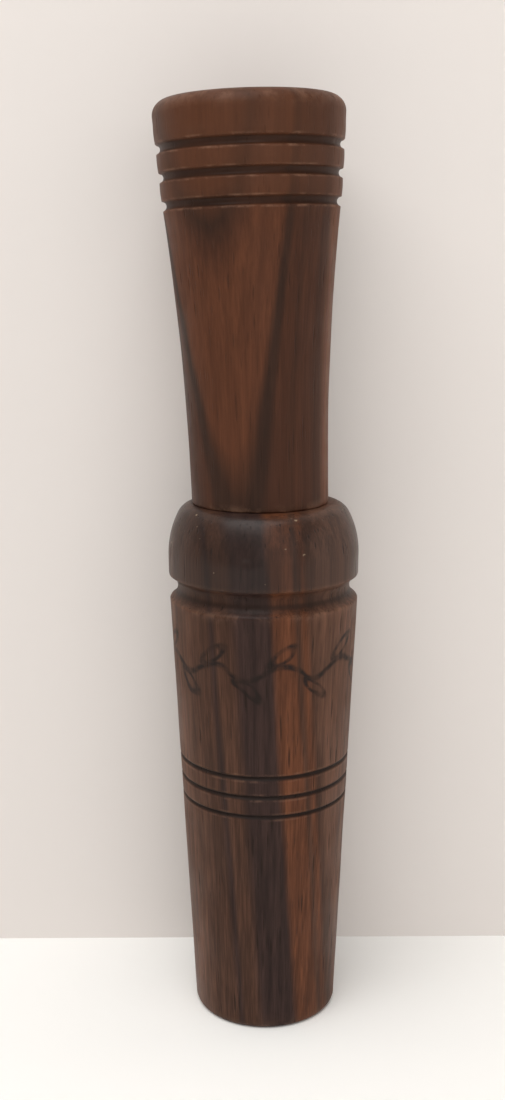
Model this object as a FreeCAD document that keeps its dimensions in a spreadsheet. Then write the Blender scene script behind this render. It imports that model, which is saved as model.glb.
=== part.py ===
"""Duck call: a hand-turned wooden barrel with a flared wooden stopper plugged into it.

The stopper holds a tone board, on which two thin reeds are clamped by a cork wedge, and two O-rings
grip the barrel's bore. Millimetres, +Z up the bore from the mouthpiece end, which is the origin. The
reed side of the tone board faces -Y.
"""

import FreeCAD, Part
import math
import os
import Sketcher
from FreeCAD import Placement, Rotation, Vector

SIZES = {
    "overall_height": (160.0, "mouthpiece face to exhaust face"),
    "barrel_height": (93.3, "mouthpiece face to the rim that the stopper rests on"),
    "bore_radius": (7.94, "5/8 inch drill, right through the barrel and in the stopper's seat"),
    "mouth_radius": (12.7, "outside of the barrel at the mouthpiece face"),
    "mouth_round": (1.0, "rounding round the mouthpiece face"),
    "bore_edge": (0.5, "chamfer at both ends of the barrel's bore"),
    "cord_groove_height": (78.8, "middle of the lanyard groove"),
    "cord_groove_nose": (2.2, "radius of the lanyard groove's section"),
    "cord_groove_floor": (15.0, "radius of the lanyard groove's floor"),
    "cord_groove_lip": (0.7, "rounding of the lanyard groove's two lips"),
    "cone_top_radius": (16.5, "the barrel's cone at the lanyard groove's height"),
    "belly_radius": (16.56, "widest place of the band above the lanyard groove"),
    "belly_height": (84.5, "height of the band's widest place"),
    "shoulder_arc": (15.4, "radius of the band's shoulder in section"),
    "rim_round": (3.2, "rounding from the shoulder to the flat rim"),
    "burn_ring_height": (44.65, "middle one of the three burned rings"),
    "burn_ring_pitch": (3.55, "spacing of the burned rings"),
    "burn_ring_nose": (0.36, "radius of a burned ring's section"),
    "stopper_lean": (1.4, "degrees that the stopper's own axis leans from its seat, toward -X"),
    "lean_pivot": (71.0, "height at which the leaning axis crosses the bore's axis"),
    "neck_radius": (11.8, "outside of the stopper at the barrel's rim"),
    "neck_round": (0.35, "rounding of the stopper's foot"),
    "flare_arc": (420.0, "radius of the stopper's flare in section"),
    "flare_top_height": (143.2, "where the flare ends in the lowest turned groove"),
    "flare_top_radius": (14.78, "outside of the stopper there"),
    "lip_radius": (15.86, "outside of the stopper below its top lip"),
    "lip_round": (2.6, "rounding of the top lip"),
    "turned_groove_pitch": (4.5, "spacing of the three turned grooves"),
    "turned_groove_nose": (0.8, "radius of a turned groove's section"),
    "turned_groove_depth": (0.7, "depth of a turned groove"),
    "turned_groove_lip": (0.22, "rounding of a turned groove's lips"),
    "exhaust_radius": (6.35, "1/2 inch exhaust bore"),
    "exhaust_round": (1.2, "rounding of the exhaust bore's mouth"),
    "seat_depth": (16.0, "how far the tone board goes into the stopper"),
    "relief_radius": (7.45, "shallow relief past the seat's floor, clear of the exhaust bore's slanting end"),
    "relief_depth": (0.6, "depth of that relief"),
    "board_radius": (7.85, "outside of the tone board"),
    "tip_height": (31.5, "the tone board's tip"),
    "tip_bevel": (2.5, "bevel under the tone board's tip"),
    "slot_mouth_height": (71.5, "where the wedge slot opens and the reeds come free"),
    "slot_depth": (10.0, "depth of the wedge slot"),
    "reed_plane": (0.8, "distance from the axis to the flat that the reeds lie on"),
    "tip_drop": (1.6, "how far the board curves away from the reeds at its tip"),
    "slot_floor_half": (5.0, "half width of the wedge slot at the reeds"),
    "slot_roof_half": (4.4, "half width of the wedge slot at its roof"),
    "slot_roof": (4.6, "distance from the axis to the wedge slot's roof"),
    "trough_start": (41.5, "closed end of the air trough"),
    "trough_tip_radius": (2.1, "air trough at its closed end"),
    "trough_heel_radius": (2.7, "air trough where it runs into the tone board's bore"),
    "board_bore_radius": (4.8, "tone board's bore where it leaves into the exhaust"),
    "ring_groove_floor": (6.08, "floor of the O-ring grooves"),
    "ring_groove_width": (2.2, "width of the O-ring grooves"),
    "ring_first_height": (85.0, "middle of the lower O-ring"),
    "ring_pitch": (4.9, "spacing of the O-rings"),
    "ring_cord_radius": (0.89, "half of the 1.78 mm O-ring cord"),
    "ring_outer_radius": (7.9, "outside of an O-ring in place"),
    "reed_half_width": (4.75, "half width of both reeds"),
    "long_reed_thickness": (0.36, "0.014 inch polyester film"),
    "short_reed_thickness": (0.25, "0.010 inch polyester film"),
    "reed_back_gap": (0.5, "from the back of the slot to the reeds and the wedge"),
    "long_reed_setback": (1.0, "from the board's tip to the long reed's tip"),
    "short_reed_setback": (4.0, "from the board's tip to the short reed's tip"),
    "reed_corner": (1.6, "clipped corners of the reed tips"),
    "wedge_clearance": (0.12, "from the wedge to the slot's walls and roof"),
    "wedge_taper": (0.35, "how much thinner the wedge is at its back"),
    "wedge_overhang": (1.2, "how far the wedge stands out of its slot"),
}
RING_COUNT = 2
GROOVE_COUNT = 3

doc = FreeCAD.newDocument("DuckCall")
sheet = doc.addObject("Spreadsheet::Sheet", "Sizes")


class Size:
    """A length with both its value and the expression that works it out from the sheet."""

    def __init__(self, value, text):
        self.value = value
        self.text = text

    def joined(self, other, sign, value):
        return Size(value, f"({self.text} {sign} {other.text})")

    def __add__(self, other):
        return self.joined(other, "+", self.value + other.value)

    def __sub__(self, other):
        return self.joined(other, "-", self.value - other.value)

    def __mul__(self, other):
        return self.joined(other, "*", self.value * other.value)

    def __truediv__(self, other):
        return self.joined(other, "/", self.value / other.value)

    def __neg__(self):
        return Size(-self.value, f"(-1 * {self.text})")


def number(value):
    """A plain number as a Size, for counts and halves."""
    return Size(value, str(value))


ZERO = number(0)
HALF = number(0.5)
TWO = number(2)


def fill_sheet():
    """Writes the driving dimensions, each in a cell with an alias and a note."""
    for row, (alias, (value, note)) in enumerate(SIZES.items(), start=1):
        sheet.set(f"A{row}", alias)
        sheet.set(f"B{row}", str(value))
        sheet.set(f"C{row}", note)
        sheet.setAlias(f"B{row}", alias)
    doc.recompute()


def size(alias):
    """The Size of one cell of the sheet."""
    return Size(float(sheet.get(alias)), f"Sizes.{alias}")


def plane_of(body, role):
    """One of a body's own origin planes."""
    return next(f for f in body.Origin.OriginFeatures if f.Role == role)


def new_sketch(body, name, role, offset=ZERO):
    """A sketch on one of the body's origin planes, moved along the plane's normal by offset."""
    sketch = body.newObject("Sketcher::SketchObject", name)
    sketch.AttachmentSupport = (plane_of(body, role), [""])
    sketch.MapMode = "FlatFace"
    sketch.AttachmentOffset = Placement(Vector(0, 0, offset.value), Rotation())
    if offset is not ZERO:
        sketch.setExpression("AttachmentOffset.Base.z", offset.text)
    return sketch


def leaning_sketch(body, name):
    """A sketch on the XZ plane whose vertical axis is the stopper's leaning axis.

    Its plane is turned about the lean's pivot, so heights along the leaning axis keep their values.
    """
    sketch = new_sketch(body, name, "XZ_Plane")
    pivot, lean = size("lean_pivot"), size("stopper_lean")
    angle = math.radians(lean.value)
    shift = Vector(pivot.value * math.sin(angle), pivot.value * (1 - math.cos(angle)), 0)
    sketch.AttachmentOffset = Placement(shift, Rotation(Vector(0, 0, 1), lean.value))
    sketch.setExpression("AttachmentOffset.Rotation.Angle", lean.text)
    sketch.setExpression("AttachmentOffset.Base.x", f"{pivot.text} * sin({lean.text})")
    sketch.setExpression("AttachmentOffset.Base.y", f"{pivot.text} * (1 - cos({lean.text}))")
    return sketch


def hold(sketch, kind, *place, to):
    """Adds one dimension to a sketch and binds it to the sheet."""
    index = sketch.addConstraint(Sketcher.Constraint(kind, *place, to.value))
    sketch.setExpression(f"Constraints[{index}]", to.text)


def hold_point(sketch, edge, end, x, y):
    """Holds a point of an edge at x, y from the sketch's origin."""
    origin, horizontal_axis, vertical_axis = (-1, 1), -1, -2
    if x is ZERO:
        sketch.addConstraint(Sketcher.Constraint("PointOnObject", edge, end, vertical_axis))
    else:
        hold(sketch, "DistanceX", *origin, edge, end, to=x)
    if y is ZERO:
        sketch.addConstraint(Sketcher.Constraint("PointOnObject", edge, end, horizontal_axis))
    else:
        hold(sketch, "DistanceY", *origin, edge, end, to=y)


def arc_through(start, end, radius, turns_left):
    """The shorter arc of that radius from start to end, turning left or right on its way."""
    chord = end - start
    rise = math.sqrt(radius**2 - (chord.Length / 2) ** 2)
    left = Vector(-chord.y, chord.x, 0).normalize()
    centre = (start + end) * 0.5 + left * (rise if turns_left else -rise)
    first, last = (start, end) if turns_left else (end, start)
    angles = [math.atan2(p.y - centre.y, p.x - centre.x) for p in (first, last)]
    return Part.ArcOfCircle(Part.Circle(centre, Vector(0, 0, 1), radius), *angles)


def outline(sketch, corners, arcs=None):
    """Draws a closed outline through the corners, which are pairs of Sizes.

    arcs maps a corner's number to the radius of the arc that leaves it and whether it turns left.
    Every corner and every radius is held by a dimension.
    """
    arcs = arcs or {}
    points = [Vector(x.value, y.value, 0) for x, y in corners]
    ends = []
    for i, start in enumerate(points):
        end = points[(i + 1) % len(points)]
        if i in arcs:
            radius, turns_left = arcs[i]
            edge = sketch.addGeometry(arc_through(start, end, radius.value, turns_left))
            ends.append((edge, 1, 2) if turns_left else (edge, 2, 1))
        else:
            edge = sketch.addGeometry(Part.LineSegment(start, end))
            ends.append((edge, 1, 2))
    for i, (edge, _, last) in enumerate(ends):
        following, first, _ = ends[(i + 1) % len(ends)]
        sketch.addConstraint(Sketcher.Constraint("Coincident", edge, last, following, first))
    for (edge, first, _), (x, y) in zip(ends, corners):
        hold_point(sketch, edge, first, x, y)
    for i, (radius, _) in arcs.items():
        hold(sketch, "Radius", ends[i][0], to=radius)
    return sketch


def circle(sketch, x, y, radius):
    """Draws one full circle, held at x, y."""
    middle = 3
    centre = Vector(x.value, y.value, 0)
    edge = sketch.addGeometry(Part.Circle(centre, Vector(0, 0, 1), radius.value))
    hold_point(sketch, edge, middle, x, y)
    hold(sketch, "Radius", edge, to=radius)
    return sketch


def turned(body, kind, name, sketch):
    """A Revolution or a Groove of a sketch, once round the sketch's vertical axis."""
    feature = body.newObject(f"PartDesign::{kind}", name)
    feature.Profile = sketch
    feature.ReferenceAxis = (sketch, ["V_Axis"])
    feature.Angle = 360
    doc.recompute()
    return feature


def extruded(body, kind, name, sketch, length, both_sides=False, backwards=False):
    """A Pad or a Pocket of a sketch."""
    feature = body.newObject(f"PartDesign::{kind}", name)
    feature.Profile = sketch
    feature.setExpression("Length", length.text)
    feature.SideType = "Symmetric" if both_sides else "One side"
    feature.Reversed = backwards
    doc.recompute()
    return feature


def rounded(body, name, kind, amount, low, high, inner, outer):
    """A Fillet or Chamfer on the round edges between two heights and two radii.

    An edge counts as round and level when it reaches right across and hardly rises.
    """
    highest_rise = 1.0
    base = body.Tip
    names = []
    for i, edge in enumerate(base.Shape.Edges, start=1):
        box = edge.BoundBox
        level = box.ZLength < highest_rise and low <= box.Center.z <= high
        if level and inner <= box.XLength / 2 <= outer:
            names.append(f"Edge{i}")
    feature = body.newObject(f"PartDesign::{kind}", name)
    feature.Base = (base, names)
    feature.setExpression("Radius" if kind == "Fillet" else "Size", amount.text)
    doc.recompute()
    return feature


def new_body(name, label):
    body = doc.addObject("PartDesign::Body", name)
    body.Label = label
    return body


def cone_radius(height):
    """The barrel's outside at a height below the lanyard groove."""
    slope = (size("cone_top_radius") - size("mouth_radius")) / size("cord_groove_height")
    return size("mouth_radius") + slope * height


def head_radius(height):
    """The stopper's outside at a height in its head, which is straight from flare to lip."""
    foot = size("flare_top_height")
    top = size("overall_height") - size("lip_round")
    rise = size("lip_radius") - size("flare_top_radius")
    return size("flare_top_radius") + rise * (height - foot) / (top - foot)


def make_barrel():
    """The barrel: a cone with a round band on top, a bore, a lanyard groove and three burned rings."""
    body = new_body("BarrelBody", "barrel")
    bore, height = size("bore_radius"), size("barrel_height")
    belly, arc = size("belly_radius"), size("shoulder_arc")
    reach = height.value - size("belly_height").value
    rim = Size(
        belly.value - arc.value + math.sqrt(arc.value**2 - reach**2),
        "(Sizes.belly_radius - Sizes.shoulder_arc"
        " + sqrt(Sizes.shoulder_arc^2 - (Sizes.barrel_height - Sizes.belly_height)^2))",
    )
    corners = [
        (bore, ZERO),
        (size("mouth_radius"), ZERO),
        (size("cone_top_radius"), size("cord_groove_height")),
        (belly, size("belly_height")),
        (rim, height),
        (bore, height),
    ]
    sketch = outline(new_sketch(body, "BarrelSection", "XZ_Plane"), corners, {3: (arc, True)})
    turned(body, "Revolution", "BarrelTurning", sketch)
    rounded(body, "RimRound", "Fillet", size("rim_round"), height.value - 0.1, height.value + 0.1,
            bore.value + 1, belly.value)
    rounded(body, "MouthRound", "Fillet", size("mouth_round"), -0.1, 0.1,
            bore.value + 1, belly.value)
    rounded(body, "BoreEdges", "Chamfer", size("bore_edge"), -0.1, height.value + 0.1,
            bore.value - 0.1, bore.value + 0.1)

    middle, nose = size("cord_groove_height"), size("cord_groove_nose")
    sketch = new_sketch(body, "LanyardGrooveSection", "XZ_Plane")
    circle(sketch, size("cord_groove_floor") + nose, middle, nose)
    turned(body, "Groove", "LanyardGroove", sketch)
    rounded(body, "LanyardGrooveLips", "Fillet", size("cord_groove_lip"),
            middle.value - nose.value, middle.value + nose.value,
            size("cord_groove_floor").value + 0.1, belly.value)

    for i in range(GROOVE_COUNT):
        height = size("burn_ring_height") + number(i - 1) * size("burn_ring_pitch")
        sketch = new_sketch(body, f"BurnRingSection{i + 1}", "XZ_Plane")
        circle(sketch, cone_radius(height), height, size("burn_ring_nose"))
        turned(body, "Groove", f"BurnRing{i + 1}", sketch)
    return body


def make_stopper():
    """The stopper: a flared neck and a head with three grooves, on an axis that leans a little.

    Its foot, its seat and the relief past it are cut square to the barrel, and its exhaust bore follows
    the leaning axis.
    """
    body = new_body("StopperBody", "stopper")
    foot, top = size("barrel_height"), size("overall_height")
    neck, exhaust = size("neck_radius"), size("exhaust_radius")
    lip, lip_round = size("lip_radius"), size("lip_round")
    spare = number(2)
    corners = [
        (exhaust, foot - spare),
        (neck, foot - spare),
        (size("flare_top_radius"), size("flare_top_height")),
        (lip, top - lip_round),
        (lip - lip_round, top),
        (exhaust, top),
    ]
    arcs = {1: (size("flare_arc"), False), 3: (lip_round, True)}
    sketch = outline(leaning_sketch(body, "StopperSection"), corners, arcs)
    turned(body, "Revolution", "StopperTurning", sketch)
    rounded(body, "ExhaustRound", "Fillet", size("exhaust_round"), top.value - 0.1,
            top.value + 0.1, exhaust.value - 0.1, exhaust.value + 0.1)

    under, past, seat_top = foot - spare - spare, neck + spare, foot + size("seat_depth")
    square_cuts = [
        ("FootFace", past, under, foot),
        ("Seat", size("bore_radius"), under, seat_top),
        ("SeatRelief", size("relief_radius"), under, seat_top + size("relief_depth")),
    ]
    for name, radius, low, high in square_cuts:
        corners = [(ZERO, low), (radius, low), (radius, high), (ZERO, high)]
        sketch = outline(new_sketch(body, f"{name}Section", "XZ_Plane"), corners)
        turned(body, "Groove", name, sketch)
    rounded(body, "FootRound", "Fillet", size("neck_round"), foot.value - 0.1, foot.value + 0.1,
            neck.value - 0.1, neck.value + 0.1)

    nose, depth = size("turned_groove_nose"), size("turned_groove_depth")
    for i in range(GROOVE_COUNT):
        height = size("flare_top_height") + number(i) * size("turned_groove_pitch")
        sketch = leaning_sketch(body, f"TurnedGrooveSection{i + 1}")
        circle(sketch, head_radius(height) + nose - depth, height, nose)
        turned(body, "Groove", f"TurnedGroove{i + 1}", sketch)
        rounded(body, f"TurnedGrooveLips{i + 1}", "Fillet", size("turned_groove_lip"),
                height.value - 1.2 * nose.value, height.value + 1.2 * nose.value,
                (size("flare_top_radius") - depth).value + 0.1, lip.value)
    return body


def make_tone_board():
    """The tone board: a turned plug, milled flat and curved for the reeds, with slot and trough."""
    body = new_body("ToneBoardBody", "tone_board")
    radius, tip = size("board_radius"), size("tip_height")
    mouth, depth = size("slot_mouth_height"), size("slot_depth")
    top = size("barrel_height") + size("seat_depth")
    bevel, plane = size("tip_bevel"), size("reed_plane")
    corners = [(ZERO, tip), (radius - bevel, tip), (radius, tip + bevel), (radius, top), (ZERO, top)]
    sketch = outline(new_sketch(body, "BoardSection", "XZ_Plane"), corners)
    turned(body, "Revolution", "BoardTurning", sketch)

    length, drop = mouth - tip, size("tip_drop")
    curve = (length * length + drop * drop) / (TWO * drop)
    outside = -(radius + number(1))
    below = tip - number(1)
    corners = [
        (-plane, mouth),
        (drop - plane, tip),
        (drop - plane, below),
        (outside, below),
        (outside, mouth),
    ]
    sketch = outline(new_sketch(body, "ReedFaceSection", "YZ_Plane"), corners, {0: (curve, True)})
    extruded(body, "Pocket", "ReedFace", sketch, TWO * radius + TWO, both_sides=True)

    floor, roof = size("slot_floor_half"), size("slot_roof_half")
    corners = [
        (-floor, -plane),
        (-roof, -size("slot_roof")),
        (roof, -size("slot_roof")),
        (floor, -plane),
    ]
    sketch = outline(new_sketch(body, "WedgeSlotSection", "XY_Plane", mouth), corners)
    extruded(body, "Pocket", "WedgeSlot", sketch, depth, backwards=True)

    start, nose, heel = size("trough_start"), size("trough_tip_radius"), size("trough_heel_radius")
    slot_end = mouth + depth
    corners = [(ZERO, start), (nose, start + nose), (heel, slot_end), (ZERO, slot_end)]
    sketch = new_sketch(body, "AirTroughSection", "XZ_Plane", plane)
    turned(body, "Groove", "AirTrough", outline(sketch, corners, {0: (nose, True)}))

    leaving = size("board_bore_radius")
    below_end = slot_end - number(1)
    corners = [(ZERO, below_end), (heel, below_end), (leaving, top), (ZERO, top)]
    sketch = outline(new_sketch(body, "BoardBoreSection", "XZ_Plane"), corners)
    turned(body, "Groove", "BoardBore", sketch)

    half = HALF * size("ring_groove_width")
    for i in range(RING_COUNT):
        height = ring_height(i)
        floor = size("ring_groove_floor")
        corners = [
            (floor, height - half),
            (radius + number(1), height - half),
            (radius + number(1), height + half),
            (floor, height + half),
        ]
        sketch = outline(new_sketch(body, f"RingGrooveSection{i + 1}", "XZ_Plane"), corners)
        turned(body, "Groove", f"RingGroove{i + 1}", sketch)
    return body


def ring_height(i):
    """Height of the middle of an O-ring."""
    return size("ring_first_height") + number(i) * size("ring_pitch")


def make_ring(i, label):
    """One O-ring, at its size in place between the tone board's groove and the bore."""
    ring = doc.addObject("Part::Torus", f"Ring{i + 1}")
    ring.Label = label
    ring.setExpression("Radius1", (size("ring_outer_radius") - size("ring_cord_radius")).text)
    ring.setExpression("Radius2", size("ring_cord_radius").text)
    ring.setExpression("Placement.Base.z", ring_height(i).text)
    return ring


def make_reed(name, label, under, thickness, setback):
    """A reed: a strip of film with clipped tip corners, lying on whatever is under it."""
    body = new_body(name, label)
    half, corner = size("reed_half_width"), size("reed_corner")
    tip = size("tip_height") + setback
    back = size("slot_mouth_height") + size("slot_depth") - size("reed_back_gap")
    corners = [
        (-half, back),
        (-half, tip + corner),
        (corner - half, tip),
        (half - corner, tip),
        (half, tip + corner),
        (half, back),
    ]
    arcs = {1: (corner, True), 3: (corner, True)}
    sketch = outline(new_sketch(body, f"{name}Outline", "XZ_Plane", under), corners, arcs)
    extruded(body, "Pad", f"{name}Film", sketch, thickness)
    return body


def make_wedge():
    """The cork wedge: a loft from its thick front end to its thinner back end."""
    body = new_body("WedgeBody", "wedge")
    under = size("reed_plane") + size("long_reed_thickness") + size("short_reed_thickness")
    gap, roof = size("wedge_clearance"), size("slot_roof")
    mouth, depth = size("slot_mouth_height"), size("slot_depth")
    ends = [
        ("Front", mouth - size("wedge_overhang"), ZERO),
        ("Back", mouth + depth - size("reed_back_gap"), size("wedge_taper")),
    ]
    sections = []
    for name, height, thinner in ends:
        wide = size("slot_floor_half") - gap - gap
        narrow = size("slot_roof_half") - gap
        over = -(roof - gap - thinner)
        corners = [(-wide, -under), (-narrow, over), (narrow, over), (wide, -under)]
        sketch = new_sketch(body, f"Wedge{name}", "XY_Plane", height)
        sections.append(outline(sketch, corners))
    loft = body.newObject("PartDesign::AdditiveLoft", "WedgeLoft")
    loft.Profile = sections[0]
    loft.Sections = sections[1:]
    doc.recompute()
    return body


def write_parts(parts):
    """Stops on any failed object or shape, then writes each sub-part's STEP file."""
    doc.recompute()
    for thing in doc.Objects:
        if {"Invalid", "Error"} & set(thing.State):
            raise RuntimeError(f"{thing.Label} failed: {thing.State}")
    os.makedirs("parts", exist_ok=True)
    for part in parts:
        shape = part.Shape
        if shape.isNull() or not shape.isValid() or shape.Volume <= 0:
            raise RuntimeError(f"{part.Label} has no valid shape")
        shape.exportStep(f"parts/{part.Label}.step")
        print(f"{part.Label}: {len(shape.Solids)} solid, {shape.Volume:.1f} mm3")


fill_sheet()
reed_face = size("reed_plane")
write_parts([
    make_barrel(),
    make_stopper(),
    make_tone_board(),
    make_ring(0, "lower_o_ring"),
    make_ring(1, "upper_o_ring"),
    make_reed("LongReed", "long_reed", reed_face, size("long_reed_thickness"),
              size("long_reed_setback")),
    make_reed("ShortReed", "short_reed", reed_face + size("long_reed_thickness"),
              size("short_reed_thickness"), size("short_reed_setback")),
    make_wedge(),
])
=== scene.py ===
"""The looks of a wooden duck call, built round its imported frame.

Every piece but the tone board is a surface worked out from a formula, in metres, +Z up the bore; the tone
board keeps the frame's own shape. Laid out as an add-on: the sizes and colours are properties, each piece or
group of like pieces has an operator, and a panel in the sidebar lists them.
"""
import math
import bpy
import numpy as np
from bpy.props import FloatProperty, FloatVectorProperty, IntProperty, PointerProperty
from bpy.types import Operator, Panel, PropertyGroup
from mathutils import Matrix, Vector


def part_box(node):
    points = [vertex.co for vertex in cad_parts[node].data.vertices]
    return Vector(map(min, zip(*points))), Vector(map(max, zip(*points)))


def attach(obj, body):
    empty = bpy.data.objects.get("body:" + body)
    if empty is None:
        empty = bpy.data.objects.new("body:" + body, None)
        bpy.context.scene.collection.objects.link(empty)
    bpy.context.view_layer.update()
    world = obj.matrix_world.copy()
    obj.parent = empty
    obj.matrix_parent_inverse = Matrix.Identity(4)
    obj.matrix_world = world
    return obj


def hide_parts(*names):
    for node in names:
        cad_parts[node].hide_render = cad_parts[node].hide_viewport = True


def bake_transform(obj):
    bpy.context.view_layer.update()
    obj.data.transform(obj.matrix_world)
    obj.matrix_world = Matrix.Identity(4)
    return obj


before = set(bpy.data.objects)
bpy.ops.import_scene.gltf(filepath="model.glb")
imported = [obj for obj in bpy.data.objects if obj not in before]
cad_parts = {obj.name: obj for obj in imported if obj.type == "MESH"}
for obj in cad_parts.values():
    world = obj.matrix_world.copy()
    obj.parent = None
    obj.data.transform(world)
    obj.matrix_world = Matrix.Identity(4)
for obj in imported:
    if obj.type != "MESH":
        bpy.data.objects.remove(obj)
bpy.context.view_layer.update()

bl_info = {
    "name": "Duck Call",
    "version": (1, 0, 0),
    "blender": (4, 5, 0),
    "location": "3D View > Sidebar > Duck Call",
    "description": "Builds a hand-turned wooden duck call with its tone board, reeds and wedge",
    "category": "Add Mesh",
}

MM = 0.001
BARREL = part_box("barrel")
TONE_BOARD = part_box("tone_board")
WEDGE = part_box("wedge")


# ---- properties ----

def length(name, description, default):
    """A length in metres that a user can change."""
    return FloatProperty(name=name, description=description, default=default, min=0.0,
                         unit="LENGTH", subtype="DISTANCE", precision=5)


def angle(name, description, degrees):
    """An angle, given in degrees."""
    return FloatProperty(name=name, description=description, default=math.radians(degrees),
                         unit="ROTATION", subtype="ANGLE")


def colour(name, description, red, green, blue):
    """A linear colour."""
    return FloatVectorProperty(name=name, description=description, default=(red, green, blue),
                               size=3, min=0.0, max=1.0, subtype="COLOR")


class BarrelSizes(PropertyGroup):
    """Sizes of the turned barrel."""
    top: length("Height", "Mouthpiece face to rim", BARREL[1][2])
    bore: length("Bore radius", "Radius of the bore", 0.00794)
    bore_edge: length("Bore edge", "Chamfer of the bore's ends", 0.0005)
    mouth: length("Mouthpiece radius", "Outside at the mouthpiece face", 0.0127)
    mouth_round: length("Mouthpiece rounding", "Rounding of the mouthpiece face", 0.001)
    cone_top: length("Cone radius", "Outside of the cone at the lanyard groove", 0.0165)
    belly: length("Band radius", "Outside of the band", BARREL[1][0])
    belly_height: length("Band height", "Height of the band's widest place", 0.0845)
    shoulder: length("Shoulder", "Radius of the shoulder's section", 0.0154)
    rim_round: length("Rim rounding", "Rounding from the shoulder to the rim", 0.0032)
    cord_height: length("Lanyard groove height", "Middle of the lanyard groove", 0.0788)
    cord_nose: length("Lanyard groove nose", "Radius of the groove's section", 0.0022)
    cord_floor: length("Lanyard groove floor", "Radius of the groove's floor", 0.0150)
    ring_height: length("Burned ring height", "Middle burned ring", 0.04465)
    ring_pitch: length("Burned ring pitch", "Spacing of the burned rings", 0.00355)
    ring_nose: length("Burned ring nose", "Radius of a burned ring's section", 0.00036)


class StopperSizes(PropertyGroup):
    """Sizes of the turned stopper, along its own axis."""
    lean: angle("Lean", "How far the stopper's axis leans from its seat", 1.4)
    pivot: length("Lean pivot", "Height at which the leaning axis crosses the bore's axis", 0.071)
    top: length("Top", "Height of the exhaust face", 0.160)
    seat: length("Seat radius", "Radius of the tone board's seat", 0.00794)
    seat_top: length("Seat top", "Height of the seat's end", TONE_BOARD[1][2])
    neck: length("Neck radius", "Outside at the barrel's rim", 0.0118)
    neck_start: length("Flare start", "Height at which the flare's arc starts", 0.0913)
    flare: length("Flare", "Radius of the flare's section", 0.420)
    head: length("Head radius", "Outside at the lowest turned groove", 0.01478)
    head_height: length("Head height", "Height of the lowest turned groove", 0.1432)
    lip: length("Lip radius", "Outside under the top lip", 0.01586)
    lip_round: length("Lip rounding", "Rounding of the top lip", 0.0026)
    groove_pitch: length("Groove pitch", "Spacing of the turned grooves", 0.0045)
    groove_nose: length("Groove nose", "Radius of a turned groove's section", 0.0008)
    groove_depth: length("Groove depth", "Depth of a turned groove", 0.0007)
    exhaust: length("Exhaust radius", "Radius of the exhaust bore", 0.00635)
    exhaust_round: length("Exhaust rounding", "Rounding of the bore's mouth", 0.0012)


class ReedSizes(PropertyGroup):
    """Sizes of the reeds and how they lie."""
    width: length("Width", "Width of both reeds", 0.0095)
    corner: length("Corner", "Rounding of the tip's corners", 0.0016)
    plane: length("Plane", "Distance from the axis to the flat under the long reed", 0.0008)
    slot_mouth: length("Slot mouth", "Height at which the reeds come free of the slot", 0.0715)


class WoodSettings(PropertyGroup):
    """Colours and figure of the walnut."""
    turning_segments: IntProperty(name="Segments", description="Faces round a turned piece",
                                  default=320, min=64, max=360)
    dents: IntProperty(name="Dents", description="Small dents in each turned piece", default=16,
                       min=0, max=60)
    stopper_warm: colour("Stopper warm", "Warm heart of the stopper's figure", 0.084, 0.029, 0.013)
    stopper_brown: colour("Stopper brown", "Plain wood of the stopper", 0.055, 0.020, 0.010)
    stopper_dark: colour("Stopper dark", "Dark lines of the stopper", 0.032, 0.014, 0.008)
    # The head's plainer wood; half again as bright, it is also the painted sheen on the stopper's sides.
    stopper_pale_and_sheen: colour("Stopper pale", "Paler wood at the stopper's sides", 0.082, 0.031, 0.015)
    barrel_brown: colour("Barrel brown", "Plain wood of the barrel", 0.060, 0.027, 0.016)
    barrel_dark: colour("Barrel dark", "Near-black streak of the barrel", 0.031, 0.016, 0.013)
    barrel_orange: colour("Barrel orange", "Orange streak of the barrel", 0.098, 0.034, 0.015)
    # Painted sheen: a paler colour for the barrel's sides as seen from the front.
    barrel_side_sheen: colour("Barrel pale", "Paler wood at the barrel's sides", 0.105, 0.049, 0.030)
    burned: colour("Burned", "Scorched wood in rings and ornament", 0.015, 0.009, 0.007)
    board: colour("Tone board", "Bare wood of the tone board", 0.400, 0.210, 0.100)
    cork: colour("Cork", "Cut cork of the wedge", 0.480, 0.290, 0.150)
    rubber: colour("Rubber", "O-ring rubber", 0.018, 0.018, 0.019)
    film: colour("Film", "Frosted film of the reeds", 0.700, 0.700, 0.640)


class StageSettings(PropertyGroup):
    """Where the camera stands, and the light."""
    camera_left: length("Camera left", "How far left of the axis the camera stands", 0.00192)
    camera_back: length("Camera distance", "How far in front of the axis the camera stands", 0.2271)
    camera_height: length("Camera height", "Height of the camera", 0.1331)
    camera_down: angle("Camera down", "How far down the camera looks", 12.03)
    camera_roll: angle("Camera roll", "How far the camera leans", -0.3)
    focal_length: FloatProperty(name="Focal length", description="Lens, for a 36 mm long side",
                                default=43.53, min=10.0, unit="CAMERA")
    wall_distance: length("Wall distance", "How far behind the axis the wall stands", 0.0206)


class DuckCallSettings(PropertyGroup):
    """All settings of the duck call."""
    barrel: PointerProperty(type=BarrelSizes)
    stopper: PointerProperty(type=StopperSizes)
    reeds: PointerProperty(type=ReedSizes)
    wood: PointerProperty(type=WoodSettings)
    stage: PointerProperty(type=StageSettings)


# ---- surfaces ----

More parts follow.
